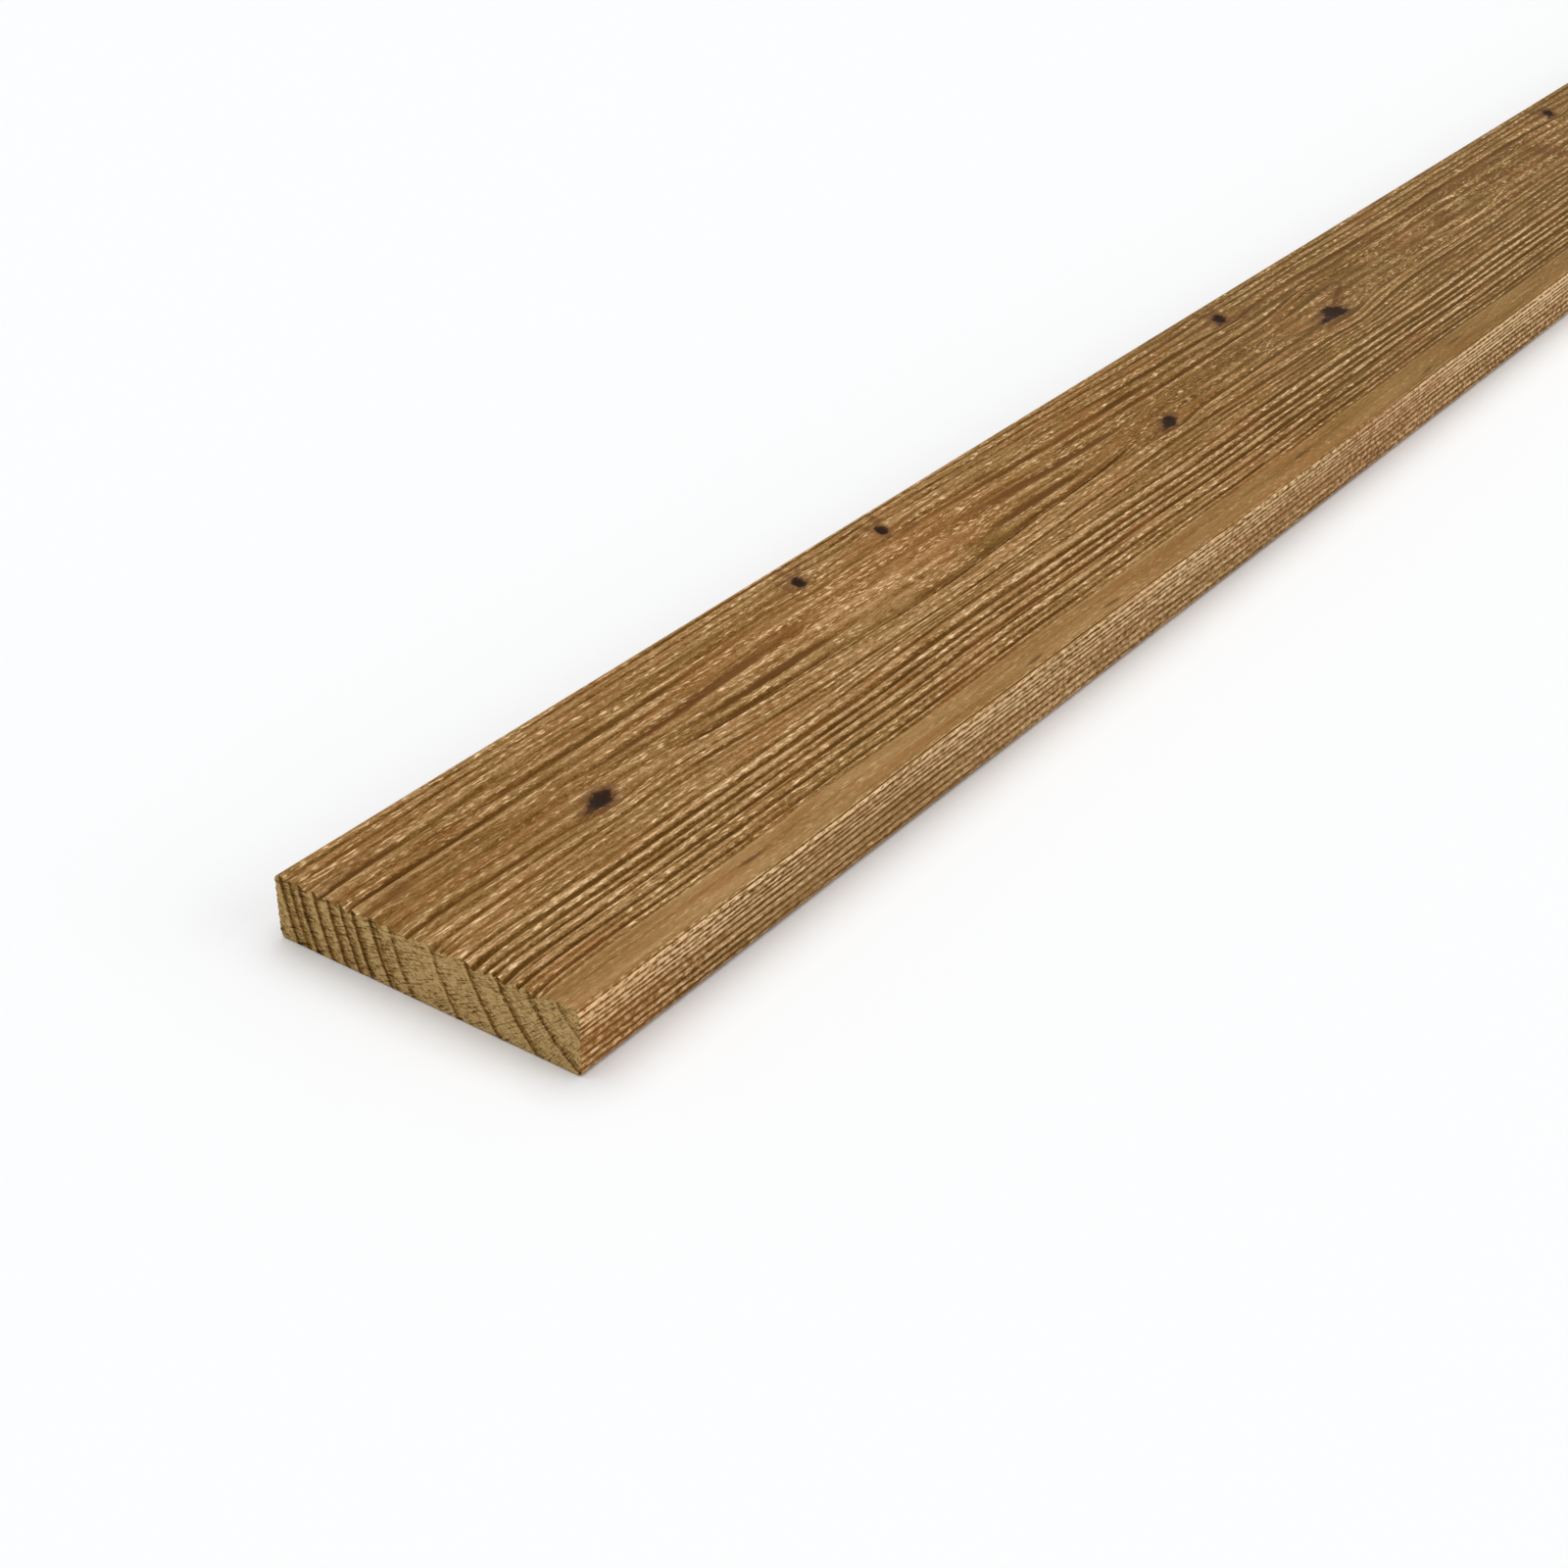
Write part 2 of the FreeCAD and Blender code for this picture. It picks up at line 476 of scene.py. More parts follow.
# Lays maps over the board: where a point is in the grain, how near a dark line, where it is on the
# surface, and the board laid out flat, each half of its length as a strip with the ends beside them
def addMaps(mesh):
    columns = len(columnPlace)
    corner = np.empty(len(mesh.loops), int)
    mesh.loops.foreach_get("vertex_index", corner)
    point = np.empty(len(mesh.vertices) * 3)
    mesh.vertices.foreach_get("co", point)
    point = point.reshape(-1, 3)[corner] / mm
    faceSize = np.array([face.loop_total for face in mesh.polygons])
    faceOf = np.repeat(np.arange(len(faceSize)), faceSize)
    isEnd = faceSize[faceOf] > unwrap["sideCorners"]
    station, column = corner // columns, corner % columns
    # the last strip of faces closes the section, so its corners on the first column go round once more
    furthest = np.zeros(len(faceSize), int)
    np.maximum.at(furthest, faceOf, column)
    wraps = (furthest[faceOf] == columns - 1) & (column == 0) & ~isEnd
    growth = np.where(wraps, underEnd, columnPlace[column])
    surface = np.where(wraps, underEnd, across[station, column])
    along = stationPlace[station]

    middle = np.bincount(faceOf, growth) / faceSize
    index = np.abs(middle[:, None] - linePlace).argmin(-1)[faceOf]
    reach = np.abs(growth - linePlace[index]) / lineHalf[index]

    turns = np.array(corners)
    stretch = [unwrap[name] for name in ("underStretch", "edgeStretch", "topStretch", "edgeStretch")]
    heights = np.concatenate([[0], np.cumsum(np.diff(turns) * stretch)])
    size, margin, half = unwrap["imageSize"], unwrap["margin"], board["length"] / 2
    second = (np.bincount(faceOf, along) / faceSize)[faceOf] > half
    flatAlong = margin + (along - half * second) / half * (size - 2 * margin)
    flatUp = margin + np.interp(surface, turns, heights) + second * (heights[-1] + margin)
    endAlong = point[:, 1] - low[1] / mm + (board["width"] + 4) * (point[:, 0] > 0)
    endAlong = margin + endAlong * unwrap["endStretch"]
    endUp = 3 * margin + 2 * heights[-1] + (point[:, 2] - low[2] / mm) * unwrap["endStretch"]
    flatAlong, flatUp = np.where(isEnd, endAlong, flatAlong) / size, np.where(isEnd, endUp, flatUp) / size
    print("flat map reaches", round(float(flatAlong.max()), 3), round(float(flatUp.max()), 3))

    maps = (("grainFlow", along, growth), ("lineFlow", reach, lineDepth[index, station]),
            ("surfaceFlow", along, surface), ("OFBake", flatAlong, flatUp))
    for name, first, other in maps:
        layer = mesh.uv_layers.new(name=name)
        layer.data.foreach_set("uv", np.stack([first, other], -1).astype(np.float32).reshape(-1))


addMaps(piece.data)


# Finishes

# The shade at each lightness, and how far each kind of mark makes it lighter or darker
woodTones = {
    "stops": [(0.08, (40, 19, 2)), (0.26, (99, 63, 14)), (0.36, (126, 90, 42)), (0.45, (149, 112, 65)),
              (0.55, (175, 138, 92)), (0.69, (212, 175, 128)), (0.82, (242, 207, 160))],
    "middle": 0.485,
    "darkest": 0.215,
    "line": 0.26,
    # a painted highlight on the brushed ridge beside each dark line
    "ridgeHighlight": 0.09,
    "wave": 0.13,
    "broad": 0.21,
    "streak": 0.42,
    "fibre": 0.43,
    "fuzz": 0.26,
    # a painted highlight on the bright flecks between the lines
    "fleckHighlight": 0.29,
    "eyeRim": 0.27,
    "smear": 0.075,
}
endTones = {
    "stops": [(0.08, (37, 21, 2)), (0.26, (94, 61, 12)), (0.36, (121, 87, 34)), (0.44, (144, 110, 57)),
              (0.54, (171, 137, 83)), (0.68, (206, 172, 115))],
    "middle": 0.672,
    "line": 0.42,
    "broad": 0.14,
    "pores": 0.66,
    "grit": 0.32,
    "speck": 0.10,
    "rays": 0.40,
    "crack": 0.20,
}


# A colour as seen, 0 to 255, as the amounts of light that the shader takes
def linear(red, green, blue):
    shares = [value / 255 for value in (red, green, blue)]
    return [share / 12.92 if share <= 0.04045 else ((share + 0.055) / 1.055) ** 2.4 for share in shares] + [1]


def addNode(tree, kind, inputs=None, **settings):
    node = tree.nodes.new(kind)
    for name, value in settings.items():
        setattr(node, name, value)
    for name, value in (inputs or {}).items():
        if isinstance(value, bpy.types.NodeSocket):
            tree.links.new(value, node.inputs[name])
        else:
            node.inputs[name].default_value = value
    return node


def combine(tree, operation, *values):
    result = values[0]
    for value in values[1:]:
        result = addNode(tree, "ShaderNodeMath", {0: result, 1: value}, operation=operation).outputs[0]
    return result


# The first figure up to the start, the last past the end, and a smooth step between them
def between(tree, value, start, end, first=0.0, last=1.0):
    node = addNode(tree, "ShaderNodeMapRange", {"Value": value, "From Min": start, "From Max": end,
                                                "To Min": first, "To Max": last},
                   interpolation_type="SMOOTHSTEP")
    return node.outputs["Result"]


# 0 before the start and after the end, with a peak from one place to another between them
def within(tree, value, start, peakFrom, peakTo, end, peak=1.0):
    return combine(tree, "MULTIPLY", between(tree, value, start, peakFrom),
                   between(tree, value, peakTo, end, peak, 0.0))


# Noise drawn out along the grain, with the length and breadth of its marks in millimetres
def grainNoise(tree, flow, along, across, shift, detail=2.0, roughness=0.5, turn=0.0):
    spread = addNode(tree, "ShaderNodeMapping", {"Vector": flow, "Rotation": (0, 0, math.radians(turn))})
    spread = addNode(tree, "ShaderNodeMapping", {
        "Vector": spread.outputs[0], "Location": (shift, shift * 0.37, 0),
        "Scale": (1 / along, 1 / across, 1)})
    noise = addNode(tree, "ShaderNodeTexNoise", {
        "Vector": spread.outputs[0], "Scale": 1.0, "Detail": detail, "Roughness": roughness},
        noise_dimensions="2D")
    return noise.outputs[0]


# The noise made to swing about zero by the amount
def swing(tree, noise, amount):
    return combine(tree, "MULTIPLY", combine(tree, "SUBTRACT", noise, 0.5), amount)


# 1 where the share is 0, and more by the amount where it is 1
def strengthened(tree, share, amount):
    return combine(tree, "ADD", combine(tree, "MULTIPLY", share, amount), 1.0)


def toneRamp(tree, tone, stops):
    ramp = addNode(tree, "ShaderNodeValToRGB", {"Fac": tone})
    points = ramp.color_ramp.elements
    points[0].position, points[0].color = stops[0][0], linear(*stops[0][1])
    points[1].position, points[1].color = stops[1][0], linear(*stops[1][1])
    for position, shade in stops[2:]:
        points.new(position).color = linear(*shade)
    return ramp.outputs["Color"]


def stain(tree, colour, amount, shade):
    mix = addNode(tree, "ShaderNodeMix", data_type="RGBA")
    for socket, value in ((mix.inputs[0], amount), (mix.inputs[6], colour)):
        tree.links.new(value, socket)
    mix.inputs[7].default_value = linear(*shade)
    return mix.outputs[2]


# How far a point is from the nearest of some ovals on the top, where 1 is an oval's rim
def ovalReach(tree, place, ovals):
    nearest = 9.0
    for oval in ovals:
        centre = (low[0] + oval["along"] * mm, low[1] + oval["across"] * mm, high[2])
        turned = addNode(tree, "ShaderNodeMapping", {
            "Vector": place, "Location": centre, "Rotation": (0, 0, math.radians(oval["turn"])),
            "Scale": (oval["long"] / 2 * mm, oval["short"] / 2 * mm, 0.01)}, vector_type="TEXTURE")
        reach = addNode(tree, "ShaderNodeVectorMath", {0: turned.outputs[0]}, operation="LENGTH")
        nearest = combine(tree, "MINIMUM", reach.outputs["Value"], nearest)
    return nearest


# Ovals on the top: place along and across, length, breadth and turn of each
def ovals(*rows):
    return [dict(zip(("along", "across", "long", "short", "turn"), row)) for row in rows]


# The black hearts of the knots. The largest has a lobe below it and a long tail.
knotHearts = [knot for knot in knots if knot["long"] < 20]
knotHearts += ovals((742.8, 82.4, 15.5, 11.0, 0), (745.4, 78.8, 9.0, 6.0, -10), (731.5, 80.2, 14.0, 3.6, 5))


# A knot's dark tail, which runs off along the grain from its lower end
def knotTails():
    tails = []
    for knot in [knot for knot in knots if knot["long"] > 10]:
        turn = math.radians(knot["turn"] * 0.6)
        reach = knot["long"] * 0.52
        tails.append({"along": knot["along"] - reach * math.cos(turn), "turn": knot["turn"] * 0.6,
                      "across": knot["across"] - reach * math.sin(turn) - knot["short"] * 0.12,
                      "long": knot["long"] * 0.8, "short": knot["short"] * 0.34})
    return tails


# Where the wood is more orange
warmPatches = ovals((333, 106, 360, 46, 0))

# Brown smears where the figure closes, and a brown loop beside the largest knot
brownSmears = ovals(
    (192, 100.6, 146, 6.2, 3.2), (232, 88.4, 64, 3.6, -1.6), (476, 100.6, 146, 6.2, -3.2),
    (436, 88.4, 64, 3.6, 1.6), (20, 124.5, 48, 9.0, 0), (16, 101.0, 34, 7.0, 2),
    (1082, 95.0, 30, 22.0, 75), (922, 100.0, 28, 14.0, 0), (712, 120, 50, 9.0, 0),
    (706, 81.4, 40, 3.4, -8), (765, 90.5, 34, 6.0, 24), (830, 119.5, 140, 8.0, 0),
    (985, 118.5, 250, 8.0, 0), (985, 80.0, 90, 5.0, 0), (1012, 100.5, 70, 3.0, 0))
brownLoop = ovals((768, 102.4, 34, 3.4, 2), (767, 92.2, 38, 3.0, 20), (784, 99.6, 6.0, 7.0, 0))
loopInside = ovals((769, 98.0, 34, 11, 8))

# Red-brown streaks beside the small knots, most of them across the board
redStreaks = ovals(
    (295.2, 129.5, 17, 4.5, 75), (313, 135.5, 10, 3.0, 30), (305, 138.5, 14, 6.0, 80),
    (364.5, 133.5, 9, 4.0, 80), (375, 136.0, 16, 5.0, 55), (362, 121.0, 16, 3.0, 5),
    (379, 119.5, 22, 3.0, 0), (702, 134.5, 18, 8.0, 45), (684, 124.0, 18, 4.0, 20),
    (692, 138.0, 14, 8.0, 85), (721, 72.6, 16, 2.4, 3), (1152, 136.0, 16, 8.0, 80),
    (118.5, 84.5, 12, 4.0, 20), (101, 80.5, 14, 5.0, 5), (564, 84.5, 12, 4.0, 20),
    (547, 80.0, 13, 4.0, 5), (1078, 102.0, 24, 14.0, 80), (708, 81.6, 36, 1.8, -9))

# A round eye in the figure, with a bright rim above and below
eye = {"along": 930, "across": 97.6, "long": 126, "short": 29, "turn": -1}


# How bright the eye's rim is: 1 in the middle of a stroke
def eyeRim(tree, place, along, waver):
    reach = combine(tree, "ADD", ovalReach(tree, place, [eye]), swing(tree, waver, 0.1))
    middle = eye["along"]
    return combine(tree, "MULTIPLY", within(tree, reach, 0.92, 0.99, 1.02, 1.1),
                   within(tree, along, middle - 57, middle - 34, middle + 30, middle + 56),
                   between(tree, waver, 0.3, 0.5, 0.4, 1.0))


# Faint short marks of small knots under the surface of the plain band
bandMarks = ovals(
    (110, 9.8, 17, 2.0, -2), (303, 5.6, 15, 2.0, 3), (367, 5.6, 15, 2.0, -3),
    (557, 9.8, 17, 2.0, 2), (694, 5.2, 16, 2.0, 3), (741, 10.8, 22, 2.0, -2))


def newFinish(name):
    finish = bpy.data.materials.new(name)
    finish.use_nodes = True
    finish.node_tree.nodes.clear()
    return finish, finish.node_tree


def finishSurface(tree, colour, height, reach, roughness):
    bump = addNode(tree, "ShaderNodeBump", {"Height": height, "Distance": reach * mm, "Strength": 0.9})
    surface = addNode(tree, "ShaderNodeBsdfPrincipled", {
        "Base Color": colour, "Roughness": roughness, "Normal": bump.outputs[0], "Specular IOR Level": 0.08})
    addNode(tree, "ShaderNodeOutputMaterial", {"Surface": surface.outputs[0]})


# How much lighter or darker the near edge and the arrises are: painted highlights along the edge's upper part
# and along both arrises, flecked, most of all by the sawn end, painted highlights on the edge's ridges, and
# painted shade along its foot
def edgeTone(tree, surface, along, across, growth, onEdge, ridgeHighlight):
    dashes = grainNoise(tree, surface, 4.5, 1.3, 65.9, 2.0, 0.5, -4)
    # a painted highlight of bright dashes along the near edge's upper part, below the arris, strongest by the
    # sawn end
    upperHighlight = combine(tree, "MULTIPLY", between(tree, across, -15, -4), onEdge,
                    between(tree, along, 50, 150, 1.0, 0.72), between(tree, dashes, 0.32, 0.68, 0.0, 0.33))
    coarse = swing(tree, grainNoise(tree, surface, 3.6, 2.6, 97.3, 3.0, 0.65, 20), 0.5)
    rougher = combine(tree, "ADD", between(tree, along, 40, 100, 2.2, 0.6),
                      between(tree, along, 190, 320, 0.0, 1.0), between(tree, along, 560, 640, 0.0, 0.8))
    rough = combine(tree, "MULTIPLY", coarse, onEdge, rougher)
    shade = combine(tree, "ADD", between(tree, along, 62, 92, 0.075, -0.055),
                    between(tree, along, 190, 220, 0.0, 0.035), between(tree, along, 450, 474, 0.0, -0.065),
                    between(tree, along, 594, 622, 0.0, 0.135))
    shade = combine(tree, "MULTIPLY", shade, onEdge, between(tree, across, -11, -5))
    # painted highlights: thin bright lines either side of the near arris, broken into dashes, strongest by
    # the sawn end
    arris = combine(tree, "ADD", within(tree, growth, -3.0, -1.9, -1.3, -0.6, 0.17),
                    within(tree, growth, 0.0, 0.5, 0.9, 1.5, 0.12))
    arris = combine(tree, "MULTIPLY", arris, between(tree, dashes, 0.40, 0.60, -0.6, 1.5),
                    between(tree, along, 60, 180, 1.1, 0.5))
    # a painted highlight along the far arris
    farArrisHighlight = within(tree, across, 142.5, 144.0, 146.5, 148.0, 0.12)
    # painted shade along the foot of the near edge, darker towards the floor
    footShade = combine(tree, "MULTIPLY", between(tree, across, -27, -20, -0.07, 0.0), onEdge)
    # painted highlights on the near edge's ridges, strongest on its upper part and faintly darker below
    edgeRidgeHighlight = combine(tree, "MULTIPLY", ridgeHighlight, onEdge, between(tree, across, -14, -9, -0.02, 0.09))
    return combine(tree, "ADD", upperHighlight, rough, shade, arris, farArrisHighlight, footShade, edgeRidgeHighlight,
                   combine(tree, "MULTIPLY", onEdge, between(tree, along, 150, 400, 0.035, 0.06)))


# The brown loop, the red-brown streaks and the faint marks of the plain band
def figureStains(tree, colour, place, waver, fibre):
    inside = between(tree, ovalReach(tree, place, loopInside), 0.6, 1.4, 0.4, 0.0)
    colour = stain(tree, colour, inside, (134, 95, 58))
    loop = combine(tree, "ADD", ovalReach(tree, place, brownLoop), swing(tree, waver, 0.5))
    colour = stain(tree, colour, between(tree, loop, 0.5, 1.5, 0.72, 0.0), (88, 58, 22))
    streakReach = combine(tree, "ADD", ovalReach(tree, place, redStreaks), swing(tree, fibre, 0.9))
    colour = stain(tree, colour, between(tree, streakReach, 0.4, 1.3, 0.66, 0.0), (106, 70, 36))
    mark = between(tree, ovalReach(tree, place, bandMarks), 0.4, 1.3, 0.8, 0.0)
    return stain(tree, colour, mark, (92, 62, 28))


# Dark knots with a red-brown rim and a tail
def knotStains(tree, colour, place, surface):
    ragged = swing(tree, grainNoise(tree, surface, 3.2, 2.4, 83.3), 0.9)
    knot = combine(tree, "ADD", ovalReach(tree, place, knots), ragged)
    heart = combine(tree, "ADD", ovalReach(tree, place, knotHearts), ragged)
    tail = combine(tree, "ADD", ovalReach(tree, place, knotTails()), ragged)
    colour = stain(tree, colour, between(tree, knot, 0.9, 2.4, 0.7, 0.0), (100, 64, 36))
    colour = stain(tree, colour, between(tree, tail, 0.6, 1.6, 0.8, 0.0), (60, 36, 22))
    colour = stain(tree, colour, between(tree, heart, 0.85, 1.3, 1.0, 0.0), (47, 28, 14))
    return stain(tree, colour, between(tree, heart, 0.3, 0.9, 0.8, 0.0), (29, 18, 8))


# The long faces: dark growth lines, broad shades, streaks, short fibres, and bright flecks and ridges that
# are painted highlights
def brushedPine():
    finish, tree = newFinish("brushedPine")
    grain = addNode(tree, "ShaderNodeUVMap", uv_map="grainFlow").outputs[0]
    surface = addNode(tree, "ShaderNodeUVMap", uv_map="surfaceFlow").outputs[0]
    lineMap = addNode(tree, "ShaderNodeUVMap", uv_map="lineFlow").outputs[0]
    place = addNode(tree, "ShaderNodeTexCoord").outputs["Object"]
    along, across, _ = addNode(tree, "ShaderNodeSeparateXYZ", {0: surface}).outputs
    growth = addNode(tree, "ShaderNodeSeparateXYZ", {0: grain}).outputs[1]
    lineReach, depth, _ = addNode(tree, "ShaderNodeSeparateXYZ", {0: lineMap}).outputs

    broad = grainNoise(tree, grain, 120, 9, 3.1)
    streak = grainNoise(tree, grain, 30, 1.7, 11.7, 3.0)
    fibre = grainNoise(tree, surface, 4.2, 0.9, 23.9, 3.0, 0.62, 3)
    fuzz = grainNoise(tree, surface, 1.2, 1.0, 27.1, 2.0, 0.6, -20)
    waver = grainNoise(tree, grain, 14, 2.0, 31.3)
    breaks = grainNoise(tree, grain, 40, 4.0, 47.9, 1.0)
    spots = grainNoise(tree, surface, 5.6, 0.85, 59.3, 2.0, 0.5, 2)

    # the marks are stronger where the photo shows them from far off, and plain again beyond that
    farOff = within(tree, along, 500, 800, 1250, 1450)

    # how lively the wood is: calm in the plain band, strongest in the third beside it
    onTop = between(tree, across, -0.6, 0.6)
    onEdge = between(tree, across, -0.6, 0.6, 1.0, 0.0)
    calmer = combine(tree, "MULTIPLY", between(tree, along, 60, 140, 0.25, 0.0),
                     within(tree, across, 72, 80, 100, 108))
    lively = combine(tree, "MULTIPLY", between(tree, across, 15.5, 18.0, 0.3, 1.0), onTop,
                     between(tree, across, 48, 60, 1.0, 0.85), combine(tree, "SUBTRACT", 1.0, calmer),
                     strengthened(tree, farOff, 0.4))
    lively = combine(tree, "ADD", lively, combine(tree, "MULTIPLY", onEdge, 0.66))
    lively = combine(tree, "MULTIPLY", lively, between(tree, across, -30, -27, 0.6, 1.0))

    reach = combine(tree, "ADD", lineReach, swing(tree, waver, 0.45), swing(tree, fibre, 0.35))
    line = combine(tree, "MULTIPLY", between(tree, reach, 0.1, 1.3, 1.0, 0.0), depth,
                   between(tree, breaks, 0.3, 0.6, 0.85, 1.1), strengthened(tree, farOff, 0.5))
    byEnd = combine(tree, "MULTIPLY", onEdge, between(tree, along, 40, 120, 0.5, 0.0))
    line = combine(tree, "MULTIPLY", line, strengthened(tree, byEnd, 1.0))
    wave = combine(tree, "MULTIPLY", combine(tree, "SUBTRACT", across, boardMaking["waveFirst"]),
                   2 * math.pi / boardMaking["waveStep"])
    wave = addNode(tree, "ShaderNodeMath", {0: wave}, operation="COSINE").outputs[0]
    wave = combine(tree, "MULTIPLY", wave, within(tree, across, 70, 80, 120, 128),
                   between(tree, broad, 0.25, 0.6, 0.4, 1.2), between(tree, along, 560, 900, 1.0, 1.5))
    # bright flecks between the dark lines, painted as highlights on the brushed ridges
    fleckHighlight = combine(tree, "MULTIPLY", between(tree, spots, 0.52, 0.7), between(tree, line, 0, 0.6, 1.0, 0.0),
                    between(tree, grainNoise(tree, grain, 45, 4.5, 103.7), 0.38, 0.6, 0.3, 1.5))

    warm = between(tree, ovalReach(tree, place, warmPatches), 0.2, 1.2, 1.0, 0.0)
    smeared = combine(tree, "ADD", ovalReach(tree, place, brownSmears), swing(tree, waver, 1.2))
    smeared = between(tree, smeared, 0.3, 1.3, 1.0, 0.0)
    fleckHighlight = combine(tree, "MULTIPLY", fleckHighlight, strengthened(tree, warm, 0.5),
                    between(tree, along, 450, 650, 1.0, 0.8))

    # a painted highlight on the brushed ridge beside each dark line
    ridgeHighlight = combine(tree, "MULTIPLY", within(tree, reach, 1.0, 1.5, 1.8, 2.8), depth,
                    strengthened(tree, farOff, 1.2))
    marks = combine(tree, "ADD", swing(tree, streak, woodTones["streak"]),
                    swing(tree, fibre, woodTones["fibre"]), swing(tree, fuzz, woodTones["fuzz"]),
                    combine(tree, "MULTIPLY", fleckHighlight, woodTones["fleckHighlight"]))
    tone = combine(tree, "ADD", woodTones["middle"], swing(tree, broad, woodTones["broad"]),
                   combine(tree, "MULTIPLY", marks, lively),
                   combine(tree, "MULTIPLY", line, -woodTones["line"]),
                   combine(tree, "MULTIPLY", smeared, -woodTones["smear"]),
                   combine(tree, "MULTIPLY", ridgeHighlight, woodTones["ridgeHighlight"]),
                   combine(tree, "MULTIPLY", wave, -woodTones["wave"] / 2),
                   combine(tree, "MULTIPLY", eyeRim(tree, place, along, waver), woodTones["eyeRim"]))
    # the plain band is a shade darker than the ridges, and the board darkens towards its middle
    tone = combine(tree, "ADD", tone, between(tree, across, 15, 18, -0.035, -0.027),
                   between(tree, across, 72, 82, 0.0, -0.06), between(tree, across, 105, 120, 0.0, 0.022),
                   between(tree, along, 800, 900, 0.0, -0.006),
                   combine(tree, "MULTIPLY", onTop, between(tree, along, 380, 720, 0.0, -0.082),
                           between(tree, along, 1250, 1450, 1.0, 0.4)))
    tone = combine(tree, "ADD", tone, edgeTone(tree, surface, along, across, growth, onEdge, ridgeHighlight))
    colour = toneRamp(tree, combine(tree, "MAXIMUM", tone, woodTones["darkest"]), woodTones["stops"])
    colour = stain(tree, colour, combine(tree, "MULTIPLY", onEdge, between(tree, along, 40, 260, 0.0, 0.09)),
                   (172, 134, 94))

    # upright red-brown marks on the near edge, redder wood in long smears, and olive wood in others
    upright = grainNoise(tree, surface, 2.2, 14.0, 89.1, 2.0, 0.5, 8)
    upright = combine(tree, "MULTIPLY", within(tree, along, 545, 610, 670, 740), onEdge,
                      between(tree, upright, 0.46, 0.64, 0.10, 0.62),
                      between(tree, across, -26, -12, 0.45, 1.0))
    colour = stain(tree, colour, upright, (148, 94, 54))
    corner = combine(tree, "MULTIPLY", between(tree, along, 4, 80, 0.2, 0.0), onEdge)
    colour = stain(tree, colour, corner, (200, 134, 70))
    smear = grainNoise(tree, grain, 85, 8, 71.1)
    colour = stain(tree, colour, between(tree, smear, 0.5, 0.72, 0.0, 0.28), (150, 96, 48))
    colour = stain(tree, colour, between(tree, smear, 0.28, 0.46, 0.16, 0.0), (132, 106, 50))
    colour = stain(tree, colour, combine(tree, "MULTIPLY", onTop, between(tree, along, 560, 700, 0.0, 0.11)),
                   (158, 138, 92))
    colour = stain(tree, colour, combine(tree, "MULTIPLY", warm, 0.20), (174, 116, 62))
    colour = stain(tree, colour, combine(tree, "MULTIPLY", smeared, 0.34), (110, 68, 36))
    colour = figureStains(tree, colour, place, waver, fibre)
    colour = knotStains(tree, colour, place, surface)

    height = combine(tree, "ADD", combine(tree, "MULTIPLY", streak, 0.4),
                     combine(tree, "MULTIPLY", fibre, 0.6), combine(tree, "MULTIPLY", fuzz, 0.3))
    height = combine(tree, "MULTIPLY", height, lively)
    height = combine(tree, "ADD", height, combine(tree, "MULTIPLY", line, -0.4))
    finishSurface(tree, colour, height, 0.7, 0.72)
    return finish


